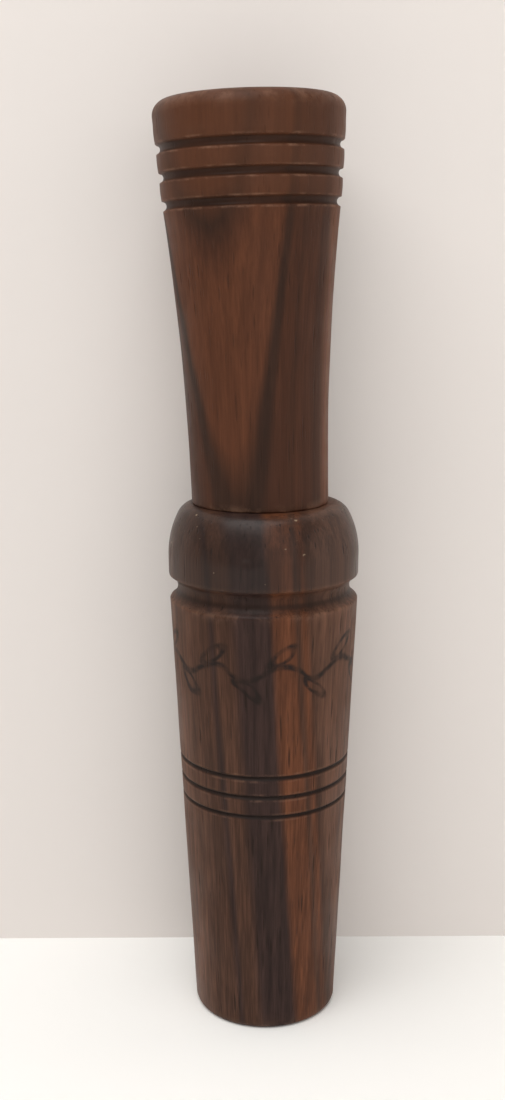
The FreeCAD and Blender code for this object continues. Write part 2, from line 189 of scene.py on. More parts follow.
def new_piece(name, grid, quads, layers=None):
    """A smooth mesh object from a grid of points, with its faces turned outwards.

    quads gives the faces for the grid's rows and columns. The signed volume, a sixth of the sum of each
    triangle's triple product, tells which way they point; if it is negative, every face is reversed.
    Each layer has one value for a row or for a point.
    """
    rows, columns = grid.shape[:2]
    points, faces = grid.reshape(-1, 3), quads(rows, columns)
    a, b, c, d = (points[faces[:, i]] for i in range(4))
    volume = np.einsum("ij,ij->", a, np.cross(b, c)) + np.einsum("ij,ij->", a, np.cross(c, d))
    if volume < 0:
        faces = faces[:, ::-1]
    mesh = bpy.data.meshes.new(name)
    mesh.vertices.add(len(points))
    mesh.vertices.foreach_set("co", points.astype(np.float32).ravel())
    mesh.loops.add(faces.size)
    mesh.loops.foreach_set("vertex_index", faces.astype(np.int32).ravel())
    mesh.polygons.add(len(faces))
    mesh.polygons.foreach_set("loop_start", np.arange(0, faces.size, 4, dtype=np.int32))
    mesh.update(calc_edges=True)
    mesh.polygons.foreach_set("use_smooth", np.ones(len(faces), dtype=bool))
    for key, values in (layers or {}).items():
        values = np.broadcast_to(values.reshape(rows, -1), (rows, columns))
        layer = mesh.attributes.new(key, "FLOAT", "POINT")
        layer.data.foreach_set("value", values.astype(np.float32).ravel())
    mesh.validate()
    piece = bpy.data.objects.new(name, mesh)
    bpy.context.scene.collection.objects.link(piece)
    return piece


def tube_quads(rows, columns, steps):
    """Quads between each row and the next, for a number of steps, on a grid whose columns close."""
    row, column = np.meshgrid(np.arange(steps), np.arange(columns), indexing="ij")
    below, beside = (row + 1) % rows, (column + 1) % columns
    corners = [(row, column), (row, beside), (below, beside), (below, column)]
    return np.stack([r * columns + c for r, c in corners], axis=-1).reshape(-1, 4)


def closed_quads(rows, columns):
    """Quads of a grid that closes on itself both ways, like a ring's surface."""
    return tube_quads(rows, columns, rows)


def capped_quads(rows, columns):
    """Quads of a tube that closes round its columns, with each end closed by strips across it."""
    near = np.arange(columns // 2 - 1)
    far = columns - 1 - near
    strip = np.stack([near, far, far - 1, near + 1], axis=-1)
    far_end = strip[:, ::-1] + (rows - 1) * columns
    return np.concatenate([tube_quads(rows, columns, rows - 1), strip, far_end])


def arc(centre, radius, start, end, count):
    """Points of an arc in a section, from one angle to another in degrees."""
    turn = np.radians(np.linspace(start, end, count))
    return np.stack([centre[0] + radius * np.cos(turn), centre[1] + radius * np.sin(turn)], axis=1)


def run(start, end, count):
    """Points of a straight run in a section, without its last point."""
    return np.linspace(start, end, count, endpoint=False)


def spaced(low, high, count, centres, reach, boost):
    """Heights from low to high, closer together within reach of the centres.

    The heights are equal steps of the running sum of a density, which is 1 and higher near centres.
    """
    fine = np.linspace(low, high, 4000)
    near = np.zeros_like(fine)
    for centre in centres:
        near = np.maximum(near, np.exp(-((fine - centre) / reach) ** 4))
    total = np.cumsum(1 + boost * near)
    return np.interp(np.linspace(total[0], total[-1], count), total, fine)


def soft_min(a, b, blend):
    """The smaller of two, with a rounded change from one to the other."""
    near = np.clip(blend - np.abs(a - b), 0, None) / blend
    return np.minimum(a, b) - near * near * blend / 4


def round_groove(outside, heights, middle, nose, floor, blend):
    """The outside after a round-nosed tool has cut to a floor radius at a height."""
    away = np.clip(np.abs(heights - middle) / nose, 0, 1)
    wall = floor + nose - nose * np.sqrt(1 - away * away)
    wall = np.where(np.abs(heights - middle) < nose, wall, outside + nose)
    return soft_min(outside, wall, blend)


def edge_and_hollow(profile):
    """How sharply a section turns outwards and inwards at each point, as two values from 0 to 1.

    The turn between one side and the next is divided by their mean length, which is the curvature. It is
    smoothed over five points, and a value is 1 at a radius of 0.7 mm outwards or 1.2 mm inwards.
    """
    before = profile - np.roll(profile, 1, axis=0)
    after = np.roll(profile, -1, axis=0) - profile
    cross = before[:, 0] * after[:, 1] - before[:, 1] * after[:, 0]
    dot = (before * after).sum(axis=1)
    span = (np.linalg.norm(before, axis=1) + np.linalg.norm(after, axis=1)) / 2
    bend = np.arctan2(cross, dot) / span
    weights = np.array([1, 2, 3, 2, 1])
    padded = np.concatenate([bend[-2:], bend, bend[:2]])
    bend = np.convolve(padded, weights / weights.sum(), mode="valid")
    full_edge, full_hollow = 1 / (0.7 * MM), 1 / (1.2 * MM)
    return np.clip(bend / full_edge, 0, 1), np.clip(-bend / full_hollow, 0, 1)


def turned_surface(profile, segments):
    """A section carried once round the Z axis: x = r cos t, y = r sin t, z = z, as a rows x segments grid."""
    turn = np.linspace(0, 2 * math.pi, segments, endpoint=False)
    radius, height = profile[:, :1], profile[:, 1:]
    return np.stack([radius * np.cos(turn), radius * np.sin(turn), height + 0 * turn], axis=-1)


def hand_work(points, outward, dents, zones, seed):
    """Moves a turned surface as a hand tool and years of use leave it.

    A slow ripple and a quicker one run round and along. Dents are shallow gaussian hollows at seeded
    places in the zones of heights given. outward is how much of each row faces away from the axis.
    """
    slow, quick = 0.03 * MM, 0.012 * MM
    random = np.random.default_rng(seed)
    x, y, z = points[..., 0], points[..., 1], points[..., 2]
    radius = np.hypot(x, y)
    turn = np.arctan2(y, x)
    change = slow * np.sin(2 * turn + 90 * z + seed) * np.sin(160 * z + 3 * turn)
    change += quick * np.sin(5 * turn - 410 * z)
    for _ in range(dents):
        low, high = zones[random.integers(len(zones))]
        middle = random.uniform(low, high)
        spot = random.uniform(-math.pi, math.pi)
        wide = random.uniform(0.3, 0.9) * MM
        tall = random.uniform(0.3, 1.4) * MM
        depth = random.uniform(0.05, 0.16) * MM
        along = (turn - spot + math.pi) % (2 * math.pi) - math.pi
        change = change - depth * np.exp(-((along * radius / wide) ** 2) - ((z - middle) / tall) ** 2)
    scale = 1 + outward[:, None] * change / radius
    return np.stack([x * scale, y * scale, z], axis=-1)


def ring_heights(sizes):
    """The heights of the three burned rings."""
    return [sizes.ring_height + i * sizes.ring_pitch for i in (-1, 0, 1)]


def barrel_section(sizes):
    """The barrel's closed section and how much each point faces outwards.

    Straight cone, burned rings, lanyard groove, arc of the band's shoulder, rounded rim, then down the bore.
    """
    s = sizes
    ring_blend, cord_blend = 0.12 * MM, 0.5 * MM
    rings = ring_heights(s)
    side = spaced(s.mouth_round, s.belly_height, 190, rings + [s.cord_height], 2.4 * MM, 4.0)
    slope = (s.cone_top - s.mouth) / s.cord_height
    outside = s.mouth + slope * np.minimum(side, s.cord_height)
    above = np.clip((side - s.cord_height) / (s.belly_height - s.cord_height), 0, 1)
    outside = outside + (s.belly - s.cone_top) * above
    for middle in rings:
        base = s.mouth + slope * middle
        outside = round_groove(outside, side, middle, s.ring_nose, base - s.ring_nose, ring_blend)
    outside = round_groove(outside, side, s.cord_height, s.cord_nose, s.cord_floor, cord_blend)

    inner = s.shoulder - s.rim_round
    hub = s.belly - s.shoulder
    rise = s.top - s.rim_round - s.belly_height
    rim_centre = (hub + math.sqrt(inner**2 - rise**2), s.top - s.rim_round)
    meet = math.degrees(math.asin(rise / inner))
    mouth_centre = (s.mouth - s.mouth_round, s.mouth_round)
    outer = np.concatenate([
        arc(mouth_centre, s.mouth_round, -90, 0, 9)[:-1],
        np.stack([outside, side], axis=1)[:-1],
        arc((hub, s.belly_height), s.shoulder, 0, meet, 22)[:-1],
        arc(rim_centre, s.rim_round, meet, 90, 14)[:-1],
    ])
    edge = s.bore + s.bore_edge
    inside = np.concatenate([
        run((rim_centre[0], s.top), (edge, s.top), 8),
        run((edge, s.top), (s.bore, s.top - s.bore_edge), 3),
        run((s.bore, s.top - s.bore_edge), (s.bore, s.bore_edge), 36),
        run((s.bore, s.bore_edge), (edge, 0), 3),
        run((edge, 0), (mouth_centre[0], 0), 8),
    ])
    outward = np.concatenate([np.ones(len(outer)), np.zeros(len(inside))])
    return np.concatenate([outer, inside]), outward


def stopper_section(sizes):
    """The stopper's closed section on its own axis, how much each point faces outwards, and how much leans.

    A concave arc flares up to the head, which widens evenly, swells a little between its three round-nosed
    grooves, and ends in a rounded lip. The flat exhaust face, the bore and the seat follow.
    """
    s = sizes
    foot, foot_round, groove_blend, swell = BARREL[1][2], 0.35 * MM, 0.25 * MM, 0.09 * MM
    grooves = [s.head_height + i * s.groove_pitch for i in range(3)]
    side = spaced(foot + foot_round, s.top - s.lip_round, 190, grooves, 1.7 * MM, 5.0)
    start, end = np.array([s.neck, s.neck_start]), np.array([s.head, s.head_height])
    chord = end - start
    span = np.linalg.norm(chord)
    normal = np.array([chord[1], -chord[0]]) / span
    centre = (start + end) / 2 + normal * math.sqrt(s.flare**2 - (span / 2) ** 2)
    flare = centre[0] - np.sqrt(s.flare**2 - (side - centre[1]) ** 2)
    lip_start = s.top - s.lip_round
    climb = (s.lip - s.head) / (lip_start - s.head_height)
    head = s.head + climb * (side - s.head_height)
    outside = np.where(side < s.head_height, flare, head)
    bulge = swell * np.sin(np.pi * (side - s.head_height) / s.groove_pitch) ** 2
    outside = outside + np.where(side > s.head_height, bulge, 0)
    for middle in grooves:
        base = s.head + climb * (middle - s.head_height)
        outside = round_groove(outside, side, middle, s.groove_nose, base - s.groove_depth, groove_blend)
    neck = outside[0]
    outer = np.concatenate([
        arc((neck - foot_round, foot + foot_round), foot_round, -90, 0, 6)[:-1],
        np.stack([outside, side], axis=1)[:-1],
        arc((s.lip - s.lip_round, lip_start), s.lip_round, 0, 90, 18)[:-1],
    ])
    mouth = s.exhaust + s.exhaust_round
    bore = np.concatenate([
        run((s.lip - s.lip_round, s.top), (mouth, s.top), 8),
        arc((mouth, s.top - s.exhaust_round), s.exhaust_round, 90, 180, 9)[:-1],
        run((s.exhaust, s.top - s.exhaust_round), (s.exhaust, s.seat_top), 30),
        [(s.exhaust, s.seat_top)],
    ])
    seat = np.concatenate([
        run((s.seat, s.seat_top), (s.seat, foot), 10),
        run((s.seat, foot), (neck - foot_round, foot), 5),
    ])
    outward = np.concatenate([np.ones(len(outer)), np.zeros(len(bore) + len(seat))])
    leaning = np.concatenate([np.ones(len(outer) + len(bore)), np.zeros(len(seat))])
    return np.concatenate([outer, bore, seat]), outward, leaning


def lean_points(points, leaning, sizes):
    """Turns the leaning rows about the pivot, towards -X, and keeps the foot's face level.

    x' = x cos a - (z - pivot) sin a, and z' = pivot + (z - pivot) cos a + x sin a. The change in z fades
    to nothing over the last 5 mm above the foot.
    """
    foot, fade_height = BARREL[1][2], 5 * MM
    weight = leaning[:, None]
    x, y, z = points[..., 0], points[..., 1], points[..., 2]
    above = z - sizes.pivot
    fade = np.clip((z - foot) / fade_height, 0, 1)
    new_x = x * math.cos(sizes.lean) - above * math.sin(sizes.lean)
    new_z = z + fade * (sizes.pivot + above * math.cos(sizes.lean) + x * math.sin(sizes.lean) - z)
    return np.stack([x + weight * (new_x - x), y, z + weight * (new_z - z)], axis=-1)


def o_ring_surface(outside, cord, height):
    """An O-ring: r = middle + cord cos v, held to 98% of the cord outwards, and z = height + cord sin v."""
    around, section = np.meshgrid(np.linspace(0, 2 * math.pi, 160, endpoint=False),
                                  np.linspace(0, 2 * math.pi, 32, endpoint=False))
    reach = np.minimum(np.cos(section), 0.98)
    radius = outside - cord + cord * reach
    return np.stack([radius * np.cos(around), radius * np.sin(around), height + cord * np.sin(section)],
                    axis=-1)


def reed_surface(low, high, half, corner):
    """A strip of film from its tip, low, to its back, high.

    The section is a flat rounded rectangle. Within one corner radius of the tip the half width is
    half - corner + sqrt(corner^2 - (corner - d)^2), where d is the distance from the tip.
    """
    tip = corner * (1 - np.cos(np.linspace(0, math.pi / 2, 10)))
    away = np.concatenate([tip, np.linspace(corner, high[2] - low[2], 90)[1:]])
    inside = np.clip(corner - away, 0, None)
    width = half - corner + np.sqrt(corner**2 - inside**2)
    thick = (high[1] - low[1]) / 2
    turn = np.linspace(0, 2 * math.pi, 48, endpoint=False) + math.pi
    edge, side_steepness, face_steepness = 0.45 * thick, 1.35, 4
    across = np.clip(np.cos(turn) * side_steepness, -1, 1)
    through = np.sign(np.sin(turn)) * np.minimum(np.abs(np.sin(turn)) * face_steepness, 1)
    x = across * (width[:, None] - edge) + edge * np.cos(turn)
    y = (low[1] + high[1]) / 2 + through * (thick - edge) + edge * np.sin(turn)
    y = np.clip(y, low[1], high[1])
    return np.stack([x, y + 0 * x, low[2] + away[:, None] + 0 * x], axis=-1)


def wedge_surface(low, high):
    """The cork wedge, and a mask of its pits.

    Its section is a trapezoid drawn as a superellipse of power 8, wide at the reeds and narrower at the
    roof, and thinner at the back end. Seeded gaussian pits are pressed in.
    """
    random = np.random.default_rng(3)
    end_share, end_shrink, back_taper, side_taper = 0.04, 0.05, 0.35 * MM, 0.48 * MM
    height = np.linspace(0, 1, 70)[:, None]
    turn = np.linspace(0, 2 * math.pi, 120, endpoint=False)[None, :] + math.pi
    power = 2 / 8
    across = np.sign(np.cos(turn)) * np.abs(np.cos(turn)) ** power
    through = np.sign(np.sin(turn)) * np.abs(np.sin(turn)) ** power
    ends = np.clip(np.minimum(height, 1 - height) / end_share, 0, 1)
    shrink = 1 - end_shrink * (1 - np.sqrt(1 - (1 - ends) ** 2))
    taper = back_taper * height
    roof, floor = low[1] + taper, high[1]
    middle, half = (roof + floor) / 2, (floor - roof) / 2
    wide, narrow = high[0], high[0] - side_taper
    x = across * shrink * (wide + (narrow - wide) * (1 - through) / 2)
    y = middle + through * shrink * half
    z = low[2] + (high[2] - low[2]) * height + 0 * x
    pits = np.zeros_like(x)
    for _ in range(70):
        pit_x = random.uniform(-wide, wide)
        pit_y = random.choice([low[1], high[1], random.uniform(low[1], high[1])])
        pit_z = random.uniform(low[2], high[2])
        size = random.uniform(0.12, 0.3) * MM
        apart = (x - pit_x) ** 2 + (y - pit_y) ** 2 + (z - pit_z) ** 2
        pits = np.maximum(pits, np.exp(-apart / size**2))
    pit_depth = 0.16 * MM
    press = pit_depth * pits
    x = x - np.sign(x) * np.minimum(press, np.abs(x)) * (np.abs(across) > 0.9)
    y = y - np.sign(y - middle) * press * (np.abs(through) > 0.9)
    return np.stack([x, y, z], axis=-1), pits


# ---- node tools ----

def fill(node, inputs):
    """Gives a node its inputs. Each is a value or another node's output."""
    for key, value in inputs.items():
        if isinstance(value, bpy.types.NodeSocket):
            node.id_data.links.new(value, node.inputs[key])
        else:
            node.inputs[key].default_value = value
    return node


def add(kind, inputs=None, tree=None, **settings):
    """Adds one shader node, to the tree given or to the one that an input comes from."""
    inputs = inputs or {}
    if tree is None:
        tree = next(value.id_data for value in inputs.values() if isinstance(value, bpy.types.NodeSocket))
    node = tree.nodes.new(kind)
    for key, value in settings.items():
        setattr(node, key, value)
    return fill(node, inputs)


def maths(operation, *values):
    """One Math node's result."""
    return add("ShaderNodeMath", dict(enumerate(values)), operation=operation).outputs[0]


def times(first, second):
    """Two values multiplied."""
    return maths("MULTIPLY", first, second)


def plus(first, second):
    """Two values added."""
    return maths("ADD", first, second)


def minus(first, second):
    """The second value taken from the first."""
    return maths("SUBTRACT", first, second)


def size_of(value):
    """A value without its sign."""
    return maths("ABSOLUTE", value)


def ramp_value(value, low, high, bottom=0.0, top=1.0):
    """A value spread smoothly from bottom to top as it goes from low to high."""
    node = add("ShaderNodeMapRange", {0: value, 1: low, 2: high, 3: bottom, 4: top},
               interpolation_type="SMOOTHSTEP")
    return node.outputs[0]


def mix_colour(factor, first, second, blend="MIX"):
    """Two colours mixed by a factor."""
    node = add("ShaderNodeMix", {0: factor, 6: first, 7: second}, data_type="RGBA", blend_type=blend)
    return node.outputs[2]


def tinted(shade, mask, amount, tone):
    """A colour with a tone mixed in, by a mask times an amount."""
    return mix_colour(times(mask, amount), shade, tone)


def brightened(shade, light):
    """A colour multiplied by a value."""
    grey = add("ShaderNodeCombineXYZ", {0: light, 1: light, 2: light}).outputs[0]
    return mix_colour(1.0, shade, grey, "MULTIPLY")


def noise(vector, scale, detail=3.0, roughness=0.55):
    """A noise texture's value, about 0.5."""
    inputs = {"Vector": vector, "Scale": scale, "Detail": detail, "Roughness": roughness}
    return add("ShaderNodeTexNoise", inputs).outputs[0]


def scaled(vector, x, y, z):
    """A vector multiplied part by part."""
    node = add("ShaderNodeVectorMath", {0: vector, 1: (x, y, z)}, operation="MULTIPLY")
    return node.outputs[0]


def in_mm(position):
    """A position in millimetres."""
    return scaled(position, 1000, 1000, 1000)


def solid(values):
    """A colour property as a shader colour."""
    return (*values, 1.0)


def new_group(name, inputs, outputs):
    """A shader node group with named inputs and outputs, and its own ends."""
    group = bpy.data.node_groups.new(name, "ShaderNodeTree")
    for key, kind, default in inputs:
        socket = group.interface.new_socket(key, in_out="INPUT", socket_type=f"NodeSocket{kind}")
        if default is not None:
            socket.default_value = default
    for key, kind in outputs:
        group.interface.new_socket(key, in_out="OUTPUT", socket_type=f"NodeSocket{kind}")
    return group, group.nodes.new("NodeGroupInput").outputs, group.nodes.new("NodeGroupOutput").inputs


def growth_ring_group(name):
    """Growth rings: how far in millimetres a point lies across the rings, with a slow natural warp.

    Lean is how far across the figure moves for each millimetre up, and Twist how much Lean grows with X.
    """
    group, given, result = new_group(
        name,
        [("Position", "Vector", None), ("Ring direction", "Vector", (1.0, 0.0, 0.0)),
         ("Lean", "Float", 0.0), ("Twist", "Float", 0.0), ("Warp", "Float", 1.0)],
        [("Across", "Float")])
    place_mm = in_mm(given["Position"])
    straight = add("ShaderNodeVectorMath", {0: place_mm, 1: given["Ring direction"]},
                   operation="DOT_PRODUCT").outputs["Value"]
    parts = add("ShaderNodeSeparateXYZ", {0: place_mm}).outputs
    twist = times(parts["X"], given["Twist"])
    run_out = times(parts["Z"], plus(given["Lean"], twist))
    slow = noise(scaled(place_mm, 0.08, 0.08, 0.016), 1.0, 2.0)
    quick = noise(scaled(place_mm, 0.5, 0.5, 0.05), 1.0, 2.0)
    slow_mm, quick_mm = 5.0, 1.2
    slow = times(minus(slow, 0.5), slow_mm)
    quick = times(minus(quick, 0.5), quick_mm)
    warp = times(plus(slow, quick), given["Warp"])
    total = plus(plus(straight, run_out), warp)
    group.links.new(total, result["Across"])
    return group


def fibre_group(name):
    """Wood fibres: fine streaks along Z, and broader ones, each about 0.5."""
    group, given, result = new_group(
        name, [("Position", "Vector", None)], [("Fine", "Float"), ("Broad", "Float")])
    fine = noise(scaled(given["Position"], 3600, 3600, 75), 1.0, 4.0, 0.65)
    broad = noise(scaled(given["Position"], 900, 900, 16), 1.0, 3.0, 0.6)
    group.links.new(fine, result["Fine"])
    group.links.new(broad, result["Broad"])
    return group


def pore_group(name):
    """Open pores: thin spindles along Z, scattered through the wood, as a mask from 0 to 1.

    Spacing and Length are a cell's size in millimetres. Width is a share of the cell, and Density the
    share of cells that hold a pore.
    """
    group, given, result = new_group(
        name,
        [("Position", "Vector", None), ("Spacing", "Float", 0.6), ("Length", "Float", 8.0),
         ("Width", "Float", 0.2), ("Density", "Float", 0.5)],
        [("Pore", "Float")])
    cell = add("ShaderNodeCombineXYZ",
               {0: given["Spacing"], 1: given["Spacing"], 2: given["Length"]}).outputs[0]
    cells = add("ShaderNodeVectorMath", {0: in_mm(given["Position"]), 1: cell},
                operation="DIVIDE").outputs[0]
    spots = add("ShaderNodeTexVoronoi", {"Vector": cells, "Scale": 1.0})
    chosen = add("ShaderNodeSeparateColor", {0: spots.outputs["Color"]}).outputs[0]
    chosen = maths("LESS_THAN", chosen, given["Density"])
    core = times(given["Width"], 0.55)
    mask = add("ShaderNodeMapRange",
               {0: spots.outputs["Distance"], 1: core, 2: given["Width"], 3: 1.0, 4: 0.0}).outputs[0]
    group.links.new(times(mask, chosen), result["Pore"])
    return group


GROUPS = {"Growth rings": growth_ring_group, "Wood fibres": fibre_group, "Open pores": pore_group}


def place(name, inputs):
    """Places a node group, made the first time that it is needed, and fills its inputs."""
    group = bpy.data.node_groups.get(name) or GROUPS[name](name)
    return add("ShaderNodeGroup", inputs, node_tree=group).outputs


def pore_mask(position, spacing, length_mm, width, density):
    """The mask of one size of pore."""
    return place("Open pores", {"Position": position, "Spacing": spacing, "Length": length_mm,
                                "Width": width, "Density": density})["Pore"]


def colour_bands(value, low, high, stops):
    """A colour ramp over a value from low to high. Each stop is a value and a colour."""
    factor = add("ShaderNodeMapRange", {0: value, 1: low, 2: high}).outputs[0]
    node = add("ShaderNodeValToRGB", {0: factor})
    elements = node.color_ramp.elements
    while len(elements) > 1:
        elements.remove(elements[-1])
    for i, (where, shade) in enumerate(stops):
        spot = (where - low) / (high - low)
        element = elements[0] if i == 0 else elements.new(spot)
        element.position = spot
        element.color = solid(shade)
    return node.outputs["Color"]


def new_material(name):
    """An empty node material with a Principled BSDF, and its Object coordinates."""
    material = bpy.data.materials.new(name)
    material.use_nodes = True
    tree = material.node_tree
    tree.nodes.clear()
    shader = add("ShaderNodeBsdfPrincipled", tree=tree)
    add("ShaderNodeOutputMaterial", {"Surface": shader.outputs[0]})
    position = add("ShaderNodeTexCoord", tree=tree).outputs["Object"]
    return material, shader, position


def surface(shader, colour, roughness, height, depth):
    """Gives the shader its colour, its roughness, and a height in units of depth, in metres."""
    bump = add("ShaderNodeBump", {"Height": height, "Strength": 1.0, "Distance": depth})
    fill(shader, {"Base Color": colour, "Roughness": roughness, "Normal": bump.outputs[0]})


def attribute(shader, name):
    """A mesh attribute's value, for a shader."""
    return add("ShaderNodeAttribute", tree=shader.id_data, attribute_name=name).outputs["Fac"]


# ---- materials ----

def walnut(name, rings, limits, stops, streaks, open_pores, even=None, burned=None, ornament=None):
    """Oiled walnut: colour bands across the growth rings, fibres, pores, burn and painted shade in hollows,
    and pale edges of wear and painted sheen.

    even is the plainer colour of the layer "even". burned adds the band's handling marks, the scorched
    rings and the ornament.
    """
    pore_dark, hollow_shade_and_burn = (0.018, 0.010, 0.007, 1), (0.018, 0.009, 0.006, 1)
    pale_of_wear_and_sheen = (0.26, 0.14, 0.09, 1)
    gripped_dark, speck_pale = (0.012, 0.007, 0.006, 1), (0.40, 0.30, 0.20, 1)
    material, shader, position = new_material(name)
    across = place("Growth rings", {"Position": position, **rings})["Across"]
    fibre = place("Wood fibres", {"Position": position})
    long_pores = pore_mask(position, 0.8, 14.0, 0.22, 0.55)
    fine_pores = pore_mask(position, 0.42, 6.5, 0.24, 0.5)

    shade = colour_bands(across, *limits, stops)
    fine = ramp_value(fibre["Fine"], 0.32, 0.68, 1 - 0.16 * streaks, 1 + 0.18 * streaks)
    broad = ramp_value(fibre["Broad"], 0.3, 0.7, 1 - 0.24 * streaks, 1 + 0.24 * streaks)
    shade = brightened(shade, times(fine, broad))
    pores = maths("MAXIMUM", long_pores, times(fine_pores, 0.6))
    shade = tinted(shade, pores, open_pores, pore_dark)
    if even is not None:
        shade = tinted(shade, attribute(shader, "even"), 0.6, solid(even))

    # Pale edges: wear, and at the stopper's rim also a painted sheen.
    patches = noise(position, 260.0, 4.0, 0.7)
    wear_and_rim_sheen = times(attribute(shader, "edge"), ramp_value(patches, 0.42, 0.66))
    shade = tinted(shade, wear_and_rim_sheen, 0.45, pale_of_wear_and_sheen)
    # Painted shade in the hollows; in the stopper's burned grooves and the barrel's burned rings it is burn
    # as well.
    shade = tinted(shade, attribute(shader, "hollow"), 0.72, hollow_shade_and_burn)
    if burned is not None:
        handled = attribute(shader, "handled")
        shade = tinted(shade, handled, 0.5, gripped_dark)
        specks = ramp_value(noise(position, 640.0, 1.5), 0.735, 0.79, 0.0, 0.7)
        shade = tinted(shade, specks, handled, speck_pale)
        shade = tinted(shade, attribute(shader, "burned"), 0.85, solid(burned))
        shade = mix_colour(ornament(position), shade, solid(burned))

    smear = noise(position, 90.0, 3.0)
    rough = plus(ramp_value(smear, 0.35, 0.65, 0.42, 0.56), times(pores, 0.2))
    wax = 0.03
    if burned is not None:
        rough = minus(rough, times(handled, 0.08))
        wax = ramp_value(handled, 0.0, 1.0, 0.03, 0.2)
    fill(shader, {"Coat Weight": wax, "Coat Roughness": 0.25, "Specular IOR Level": 0.12})
    surface(shader, shade, rough, minus(times(fibre["Fine"], 0.35), pores), 0.06 * MM)
    return material


def leafy_vine(position):
    """A faded burned vine round the front of the barrel, as a mask.

    s is the arc length from the front and h the height from the vine's middle, in millimetres. The stem
    is |h - a sin(2 pi s / period)| under half a stroke. Each leaf is the outline of a leaning ellipse,
    one for each half period, above the stem and below it by turns.
    """
    radius, middle, period, swing, stroke = 15.9, 67.0, 12.0, 1.2, 0.5
    slope, leaf_long, leaf_wide, leaf_height = math.radians(38), 2.5, 0.95, 2.9
    shake_along, shake_up, fade_from, fade_to = 2.0, 1.2, 20.0, 24.0
    place_mm = in_mm(position)
    parts = add("ShaderNodeSeparateXYZ", {0: place_mm}).outputs
    turn = maths("ARCTAN2", parts[0], times(parts[1], -1.0))
    shake = minus(noise(place_mm, 0.22, 1.0), 0.5)
    s = plus(times(turn, radius), times(shake, shake_along))
    h = plus(minus(parts[2], middle), times(shake, shake_up))
    wave = maths("SINE", times(s, 2 * math.pi / period))
    off_stem = size_of(minus(h, times(wave, swing)))
    stem = ramp_value(off_stem, stroke * 0.3, stroke * 1.7, 1.0, 0.0)

    half = period / 2
    number = maths("FLOOR", maths("DIVIDE", s, half))
    side = maths("COSINE", times(number, math.pi))
    along = minus(s, times(plus(number, 0.5), half))
    up = minus(times(h, side), leaf_height)
    on_leaf = plus(times(along, math.cos(slope) / leaf_long), times(up, math.sin(slope) / leaf_long))
    off_leaf = minus(times(up, math.cos(slope) / leaf_wide), times(along, math.sin(slope) / leaf_wide))
    reach = maths("SQRT", plus(times(on_leaf, on_leaf), times(off_leaf, off_leaf)))
    leaf = ramp_value(size_of(minus(reach, 1.0)), stroke * 0.2, stroke * 1.1, 1.0, 0.0)
    drawn = maths("MAXIMUM", stem, leaf)
    faded = ramp_value(noise(place_mm, 0.5, 3.0), 0.34, 0.62, 0.4, 1.0)
    ends = ramp_value(size_of(s), fade_from, fade_to, 1.0, 0.0)
    return times(times(drawn, faded), ends)


def bare_wood(shade):
    """Sanded, unoiled wood of the tone board: straight rings, fibres and small pores."""
    material, shader, position = new_material("Tone board wood")
    across = place("Growth rings", {
        "Position": position, "Ring direction": (0.35, 0.94, 0.0), "Lean": 0.02, "Warp": 0.5})["Across"]
    fibre = place("Wood fibres", {"Position": position})
    pores = pore_mask(position, 0.45, 3.5, 0.2, 0.4)
    ring = maths("FRACT", times(across, 0.75))
    dark = tuple(0.62 * c for c in shade)
    tone = colour_bands(ring, 0.0, 1.0, [(0.0, shade), (0.7, shade), (0.93, dark), (1.0, shade)])
    tone = brightened(tone, ramp_value(fibre["Fine"], 0.3, 0.7, 0.8, 1.18))
    tone = tinted(tone, pores, 0.6, (0.10, 0.045, 0.02, 1))
    rough = ramp_value(fibre["Broad"], 0.3, 0.7, 0.55, 0.75)
    surface(shader, tone, rough, minus(times(fibre["Fine"], 0.4), pores), 0.05 * MM)
    return material


def cut_cork(shade):
    """Cork: pale grains with dark seams between them and a few brown lenticels."""
    lenticel_brown, pit_shade = (0.12, 0.055, 0.025, 1), (0.10, 0.05, 0.025, 1)
    material, shader, position = new_material("Cork")
    grains = add("ShaderNodeTexVoronoi", {"Vector": position, "Scale": 1400.0})
    tint = add("ShaderNodeSeparateColor", {0: grains.outputs["Color"]}).outputs[0]
    tone = brightened(solid(shade), ramp_value(tint, 0.0, 1.0, 0.78, 1.2))
    lenticels = ramp_value(noise(scaled(position, 1, 1, 2.6), 620.0, 3.0), 0.58, 0.68)
    tone = tinted(tone, lenticels, 0.8, lenticel_brown)
    # Painted shade in the pressed-in pits.
    tone = tinted(tone, attribute(shader, "hollow"), 0.7, pit_shade)
    seams = minus(times(grains.outputs["Distance"], -0.8), lenticels)
    surface(shader, tone, ramp_value(tint, 0.0, 1.0, 0.75, 0.92), seams, 0.08 * MM)
    return material


def ring_rubber(shade):
    """Black rubber with a faint bloom and grease."""
    material, shader, position = new_material("O-ring rubber")
    bloom = ramp_value(noise(position, 900.0, 4.0), 0.45, 0.7)
    pale = tuple(3.0 * c for c in shade)
    tone = tinted(solid(shade), bloom, 0.6, solid(pale))
    rough = ramp_value(bloom, 0.0, 1.0, 0.38, 0.62)
    surface(shader, tone, rough, noise(position, 5200.0, 2.0), 0.006 * MM)
    return material


def frosted_film(shade):
    """Frosted polyester film: off-white, with scratches along it and a faint stain."""
    stained, scratched = (0.52, 0.47, 0.34, 1), (0.95, 0.95, 0.93, 1)
    material, shader, position = new_material("Frosted film")
    scratches = noise(scaled(position, 9000, 9000, 160), 1.0, 2.0)
    scratches = ramp_value(scratches, 0.60, 0.72)
    stain = ramp_value(noise(position, 150.0, 4.0), 0.45, 0.7)
    tone = tinted(solid(shade), stain, 0.5, stained)
    tone = tinted(tone, scratches, 0.25, scratched)
    surface(shader, tone, ramp_value(scratches, 0.0, 1.0, 0.34, 0.55), scratches, 0.008 * MM)
    return material


# ---- operators ----

